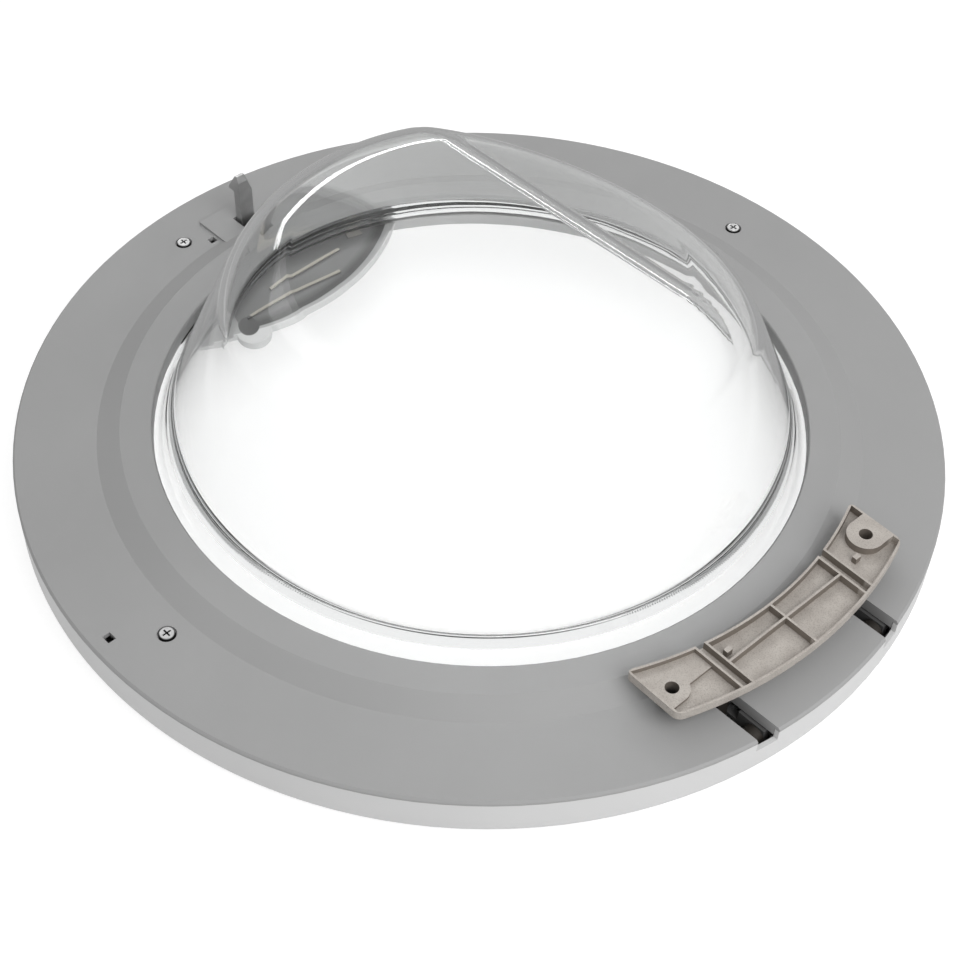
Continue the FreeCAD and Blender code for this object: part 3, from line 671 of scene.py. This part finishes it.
def smooth_max(a, b, k):
    """The greater of two values, with a soft change over a width of k."""
    h = max(k - abs(a - b), 0.0) / k
    return max(a, b) + h * h * k * 0.25


def crossing(f, lo, hi):
    """Where a rising function passes zero."""
    for _ in range(30):
        mid = (lo + hi) / 2
        if f(mid) < 0:
            lo = mid
        else:
            hi = mid
    return lo


class Shell:
    """One side of the bowl: cone, flat end and sloped deflector, run into each other with soft corners."""

    def __init__(self, wall, end, corner, ridge):
        self.wall, self.end, self.corner, self.ridge = wall, end, corner, ridge
        # half-width along Y of the blend at the ridge
        self.half = ridge / math.sin(DEFLECTOR)

    def cone(self, r, z):
        return (r - (ROOT_R - TAPER * (z - COVER_Z))) * math.cos(TILT) + self.wall

    def top(self, y, z):
        flat = z - (FACE_Z + END_H) + self.end
        slope = (y - CREST_Y) * math.sin(DEFLECTOR) + (z - FACE_Z - END_H) * math.cos(DEFLECTOR) + self.end
        return smooth_max(flat, slope, self.ridge)

    def field(self, p):
        return smooth_max(self.cone(math.hypot(p[0], p[1]), p[2]), self.top(p[1], p[2]), self.corner)

    def top_z(self, y):
        return crossing(lambda z: self.top(y, z), 0.0, BEYOND)

    def wall_r(self, z):
        return ROOT_R - TAPER * (z - COVER_Z) - self.wall / math.cos(TILT)

    def normal(self, p):
        g = []
        for i in range(3):
            a, b = list(p), list(p)
            a[i] += PROBE
            b[i] -= PROBE
            g.append(self.field(a) - self.field(b))
        return Vector(g).normalized()

    def seam(self, phi):
        """Ends of the corner blend in one direction: on the top and on the wall."""
        s, c = math.sin(phi), math.cos(phi)
        r = crossing(lambda v: self.cone(v, self.top_z(v * s)) + self.corner, 10.0, BEYOND)
        t = Vector((r * c, r * s, self.top_z(r * s)))
        z = crossing(lambda v: self.top(self.wall_r(v) * s, v) + self.corner, COVER_Z, BEYOND)
        w = Vector((self.wall_r(z) * c, self.wall_r(z) * s, z))
        return t, w

    def shoot(self, aim):
        """Point of the surface behind another, seen from the bowl's heart."""
        d = (aim - HEART).normalized()
        return HEART + crossing(lambda v: self.field(HEART + v * d), 0.0, SHOT) * d

    def ridge_ys(self):
        """Chords over the ridge, from the flat to the slope."""
        middle = CREST_Y - self.end * math.tan(DEFLECTOR / 2)
        return [middle + self.half * (2 * i / RIDGE_CHORDS - 1) for i in range(RIDGE_CHORDS + 1)]


def shell_rows(shell, phis, low_z):
    """Rings of points and normals from the top's edge over the corner and down the wall."""
    seams = [shell.seam(p) for p in phis]
    rows = []
    for i in range(CORNER_RINGS + 1):
        pts = [shell.shoot(t.lerp(w, i / CORNER_RINGS)) for t, w in seams]
        rows.append([(p, shell.normal(p)) for p in pts])
    for i in range(1, WALL_RINGS + 1):
        pts = []
        for (t, w), phi in zip(seams, phis):
            z = w.z + (low_z - w.z) * i / WALL_RINGS
            r = shell.wall_r(z)
            pts.append(Vector((r * math.cos(phi), r * math.sin(phi), z)))
        rows.append([(p, shell.normal(p)) for p in pts])
    return rows


def ring_row(r, z, normal_deg, phis):
    """One level ring whose normals all rise by the same angle."""
    a = math.radians(normal_deg)
    return [(Vector((r * math.cos(p), r * math.sin(p), z)),
             Vector((math.cos(a) * math.cos(p), math.cos(a) * math.sin(p), math.sin(a)))) for p in phis]


def bend_rows(ends, phis):
    """Rings along a bend drawn by three (r, z) points, walked with the glass on the left."""
    (r0, z0), (r1, z1), (r2, z2) = ends
    out = []
    for i in range(BEND_RINGS + 1):
        t = i / BEND_RINGS
        dr = (1 - t) * (r1 - r0) + t * (r2 - r1)
        dz = (1 - t) * (z1 - z0) + t * (z2 - z1)
        rise = math.degrees(math.atan2(dr, -dz))
        out.append(ring_row(bend(r0, r1, r2, t), bend(z0, z1, z2, t), rise, phis))
    return out


def chord_phis(shell):
    """Directions in which the ridge chords meet the top's edge."""
    out = []
    for y in shell.ridge_ys():
        z = shell.top_z(y)
        r = ROOT_R - TAPER * (z - COVER_Z) - (shell.wall + shell.corner) / math.cos(TILT)
        a = math.asin(y / r)
        out += [a, math.pi - a]
    return out


def bowl_columns(outer, inner):
    """Directions of the mesh's columns: even steps, and one at each end of a ridge chord."""
    ends = []
    for p in sorted(chord_phis(outer) + chord_phis(inner)):
        if not ends or p - ends[-1] > CHORD_GAP:
            ends.append(p)
    even = [2 * math.pi * (j + 0.5) / COLUMNS - SEAM_PHI for j in range(COLUMNS)]
    return sorted([p for p in even if min(abs(p - e) for e in ends) > COLUMN_GAP] + ends)


def bowl_rows(outer, inner, phis):
    """All rings of the bowl, from the outer top's edge round the flange to the inner top's edge."""
    root_z, mouth_z = COVER_Z + ROOT_UP, SEAT_Z + MOUTH_UP
    rows = shell_rows(outer, phis, root_z)
    rows += bend_rows([(outer.wall_r(root_z), root_z), (ROOT_R, COVER_Z), (ROOT_R + ROOT_OUT, COVER_Z)], phis)
    for r, z, deg in [(FLANGE_R - FLANGE_EDGE, COVER_Z, 90),
                      (FLANGE_R - FLANGE_TURN, COVER_Z - FLANGE_TURN, 45),
                      (FLANGE_R, COVER_Z - FLANGE_EDGE, 0),
                      (FLANGE_R, SEAT_Z + FLANGE_EDGE, 0),
                      (FLANGE_R - FLANGE_TURN, SEAT_Z + FLANGE_TURN, -45),
                      (FLANGE_R - FLANGE_EDGE, SEAT_Z, -90)]:
        rows.append(ring_row(r, z, deg, phis))
    lip_r = inner.wall_r(SEAT_Z)
    rows += bend_rows([(lip_r + MOUTH_OUT, SEAT_Z), (lip_r, SEAT_Z), (inner.wall_r(mouth_z), mouth_z)], phis)
    for ring in reversed(shell_rows(inner, phis, mouth_z)):
        rows.append([(p, -n) for p, n in ring])
    return rows


def held(spot, loop):
    """True where a point lies inside a closed outline."""
    inside = False
    for a, b in zip(loop, loop[1:] + loop[:1]):
        if (a.y > spot.y) != (b.y > spot.y):
            if spot.x < a.x + (b.x - a.x) * (spot.y - a.y) / (b.y - a.y):
                inside = not inside
    return inside


def cap(shell, verts, normals, faces, first, count, flip):
    """Close the top: triangles between the edge ring and the ridge's chords."""
    loop = list(range(first, first + count))
    flat = [Vector((verts[i].x, verts[i].y)) for i in loop]
    edges = [(j, (j + 1) % count) for j in range(count)]
    for y in shell.ridge_ys():
        sides = [[j for j in range(count) if flat[j].x * s > 0] for s in (-1, 1)]
        edges.append(tuple(min(side, key=lambda j: abs(flat[j].y - y)) for side in sides))
    spots, _, triangles, sources, _, _ = delaunay_2d_cdt(flat, edges, [], 0, 1e-4)
    index = []
    for spot, source in zip(spots, sources):
        if source:
            index.append(loop[source[0]])
        else:
            p = Vector((spot.x, spot.y, shell.top_z(spot.y)))
            n = shell.normal(p)
            index.append(len(verts))
            verts.append(p)
            normals.append(-n if flip else n)
    for f in triangles:
        if held(sum((spots[i] for i in f), Vector((0, 0))) / 3, flat):
            tri = [index[i] for i in f]
            faces.append(tuple(reversed(tri)) if flip else tuple(tri))


def build_bowl():
    """Pressed glass bowl with a flared root, made as rings of points with their true normals."""
    outer = Shell(0.0, 0.0, OUT_ROUND, RIDGE_OUT)
    inner = Shell(WALL_T, END_T, IN_ROUND, RIDGE_IN)
    phis = bowl_columns(outer, inner)
    rows = bowl_rows(outer, inner, phis)
    verts = [p for ring in rows for p, n in ring]
    normals = [n for ring in rows for p, n in ring]
    faces = []
    count = len(phis)
    for i in range(len(rows) - 1):
        for j in range(count):
            k = (j + 1) % count
            faces.append((i * count + j, (i + 1) * count + j, (i + 1) * count + k, i * count + k))
    cap(outer, verts, normals, faces, 0, count, False)
    cap(inner, verts, normals, faces, (len(rows) - 1) * count, count, True)
    mesh = bpy.data.meshes.new("glass_bowl_pressed")
    mesh.from_pydata([v * MM for v in verts], [], faces)
    mesh.polygons.foreach_set("use_smooth", [True] * len(mesh.polygons))
    mesh.normals_split_custom_set_from_vertices([tuple(n) for n in normals])
    mesh.validate()
    obj = bpy.data.objects.new("glass_bowl_pressed", mesh)
    scene.collection.objects.link(obj)
    mesh.materials.append(MAT["glass"])
    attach(obj, "door")
    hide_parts("glass_bowl")


build_bowl()


# camera: angles, distance and aim in millimetres, focal length in pixels of the image
ELEV = math.radians(47.323)
TURN = math.radians(44.3)
ROLL = math.radians(2.110)
DIST = 905.03
AIM = Vector((1.2312, -50.76, 0))
FOCAL_PX = 1800.0
IMAGE_PX = 962.0
SENSOR = 36.0
SPIN = Matrix.Rotation(TURN, 3, 'Z')


def build_camera():
    """Camera that looks at the door as the photograph does."""
    ahead = SPIN @ Vector((0, math.cos(ELEV), -math.sin(ELEV)))
    level_right = SPIN @ Vector((1, 0, 0))
    level_up = level_right.cross(ahead)
    right = math.cos(ROLL) * level_right + math.sin(ROLL) * level_up
    up = -math.sin(ROLL) * level_right + math.cos(ROLL) * level_up
    target = SPIN @ AIM + Vector((0, 0, FACE_Z))
    eye = (target - DIST * ahead) * MM
    data = bpy.data.cameras.new("camera")
    data.sensor_fit = 'HORIZONTAL'
    data.sensor_width = SENSOR
    data.lens = FOCAL_PX / IMAGE_PX * SENSOR
    data.clip_start = 0.01
    cam = bpy.data.objects.new("camera", data)
    cam.matrix_world = Matrix((
        (right.x, up.x, -ahead.x, eye.x), (right.y, up.y, -ahead.y, eye.y),
        (right.z, up.z, -ahead.z, eye.z), (0, 0, 0, 1)))
    scene.collection.objects.link(cam)
    scene.camera = cam


build_camera()


# floor: radius in metres, what it gives off, and where it dims as the glass bends to it, millimetres
FLOOR_R = 30.0
FLOOR_GLOW = 0.78
FLOOR_DIM = (200.0, 320.0)


def floor_white(name):
    """Pale floor: lit by the lamps, near white to the camera, dimmer far off as the glass shows it."""
    m = Nodes(name)
    matt = m.shader('BsdfDiffuse', Color=level(0.82))
    shade = m.shader('BsdfDiffuse', Color=level(0.35))
    glow = m.shader('Emission', Color=level(1.0), Strength=FLOOR_GLOW)
    dim = m.shader('Emission', Color=srgb(165), Strength=1.0)
    pale = m.new('ShaderNodeAddShader')
    m.link(shade.outputs[0], pale.inputs[0])
    m.link(glow.outputs[0], pale.inputs[1])
    path = m.new('ShaderNodeLightPath')
    bent = m.math('MAXIMUM', path.outputs['Is Glossy Ray'], path.outputs['Is Transmission Ray'])
    seen = m.math('MAXIMUM', path.outputs['Is Camera Ray'], bent)
    far = m.math('MULTIPLY', bent, m.band(m.reach(CENTRE), FLOOR_DIM))
    near = m.blend(seen, matt.outputs[0], pale.outputs[0])
    m.link(m.blend(far, near, dim.outputs[0]), m.out.inputs['Surface'])
    return m.mat


bm = bmesh.new()
bmesh.ops.create_circle(bm, cap_ends=True, segments=96, radius=FLOOR_R)
floor_mesh = bpy.data.meshes.new("floor")
bm.to_mesh(floor_mesh)
bm.free()
floor_mesh.materials.append(floor_white("floor_white"))
floor = bpy.data.objects.new("floor", floor_mesh)
scene.collection.objects.link(floor)


# light: strength of the sky as it falls on surfaces and as mirrored or bent rays meet it
SKY_LIGHT = 0.56
SKY_MIRRORED = 0.34


def build_world():
    """Even white sky, white to the camera and dimmer in reflections and through the glass."""
    world = bpy.data.worlds.new("studio")
    scene.world = world
    world.use_nodes = True
    tree = world.node_tree
    tree.nodes.clear()
    out = tree.nodes.new('ShaderNodeOutputWorld')
    sky_white = tree.nodes.new('ShaderNodeBackground')
    sky_white.inputs['Color'].default_value = level(1.0)
    path = tree.nodes.new('ShaderNodeLightPath')
    bent = tree.nodes.new('ShaderNodeMath')
    bent.operation = 'MAXIMUM'
    tree.links.new(path.outputs['Is Glossy Ray'], bent.inputs[0])
    tree.links.new(path.outputs['Is Transmission Ray'], bent.inputs[1])
    strength = tree.nodes.new('ShaderNodeMapRange')
    strength.inputs['To Min'].default_value = SKY_LIGHT
    strength.inputs['To Max'].default_value = SKY_MIRRORED
    tree.links.new(bent.outputs[0], strength.inputs['Value'])
    view = tree.nodes.new('ShaderNodeMath')
    view.operation = 'MAXIMUM'
    tree.links.new(path.outputs['Is Camera Ray'], view.inputs[0])
    tree.links.new(strength.outputs[0], view.inputs[1])
    tree.links.new(view.outputs[0], sky_white.inputs['Strength'])
    tree.links.new(sky_white.outputs[0], out.inputs['Surface'])


def row(x, y, z):
    """Point in the frame from camera-side axes: x to the right, y away from the camera, z up."""
    v = SPIN @ Vector((x, y, 0))
    return (v.x, v.y, z)


def sky(turn, height, far):
    """Point at a bearing right of straight ahead and a height, both in degrees, and a distance in metres."""
    a, h = math.radians(turn), math.radians(height)
    return row(far * math.cos(h) * math.sin(a), far * math.cos(h) * math.cos(a), far * math.sin(h))


def area(name, spot, aim, size, power):
    """Rectangular lamp turned to a point: metres and watts."""
    data = bpy.data.lights.new(name, 'AREA')
    data.shape = 'RECTANGLE'
    data.size, data.size_y = size
    data.energy = power
    obj = bpy.data.objects.new(name, data)
    obj.location = spot
    obj.rotation_euler = (Vector(aim) - Vector(spot)).to_track_quat('-Z', 'Y').to_euler()
    scene.collection.objects.link(obj)


build_world()
area("key", row(-0.7, 1.1, 1.8), aim=(0, 0, 0), size=(1.0, 1.0), power=3.0)
area("fill", row(0.6, -0.7, 0.85), aim=(0, 0, 0), size=(0.9, 0.9), power=7.5)
# the two strips draw the white lines along the edge and the ridge of the glass end
area("strip_far", sky(0.0, 35.5, 2.0), aim=(0, 0, 0.1), size=(1.4, 0.09), power=5.0)
area("strip_left", sky(-23.0, 36.5, 2.0), aim=(0, 0, 0.1), size=(0.07, 0.12), power=0.3)
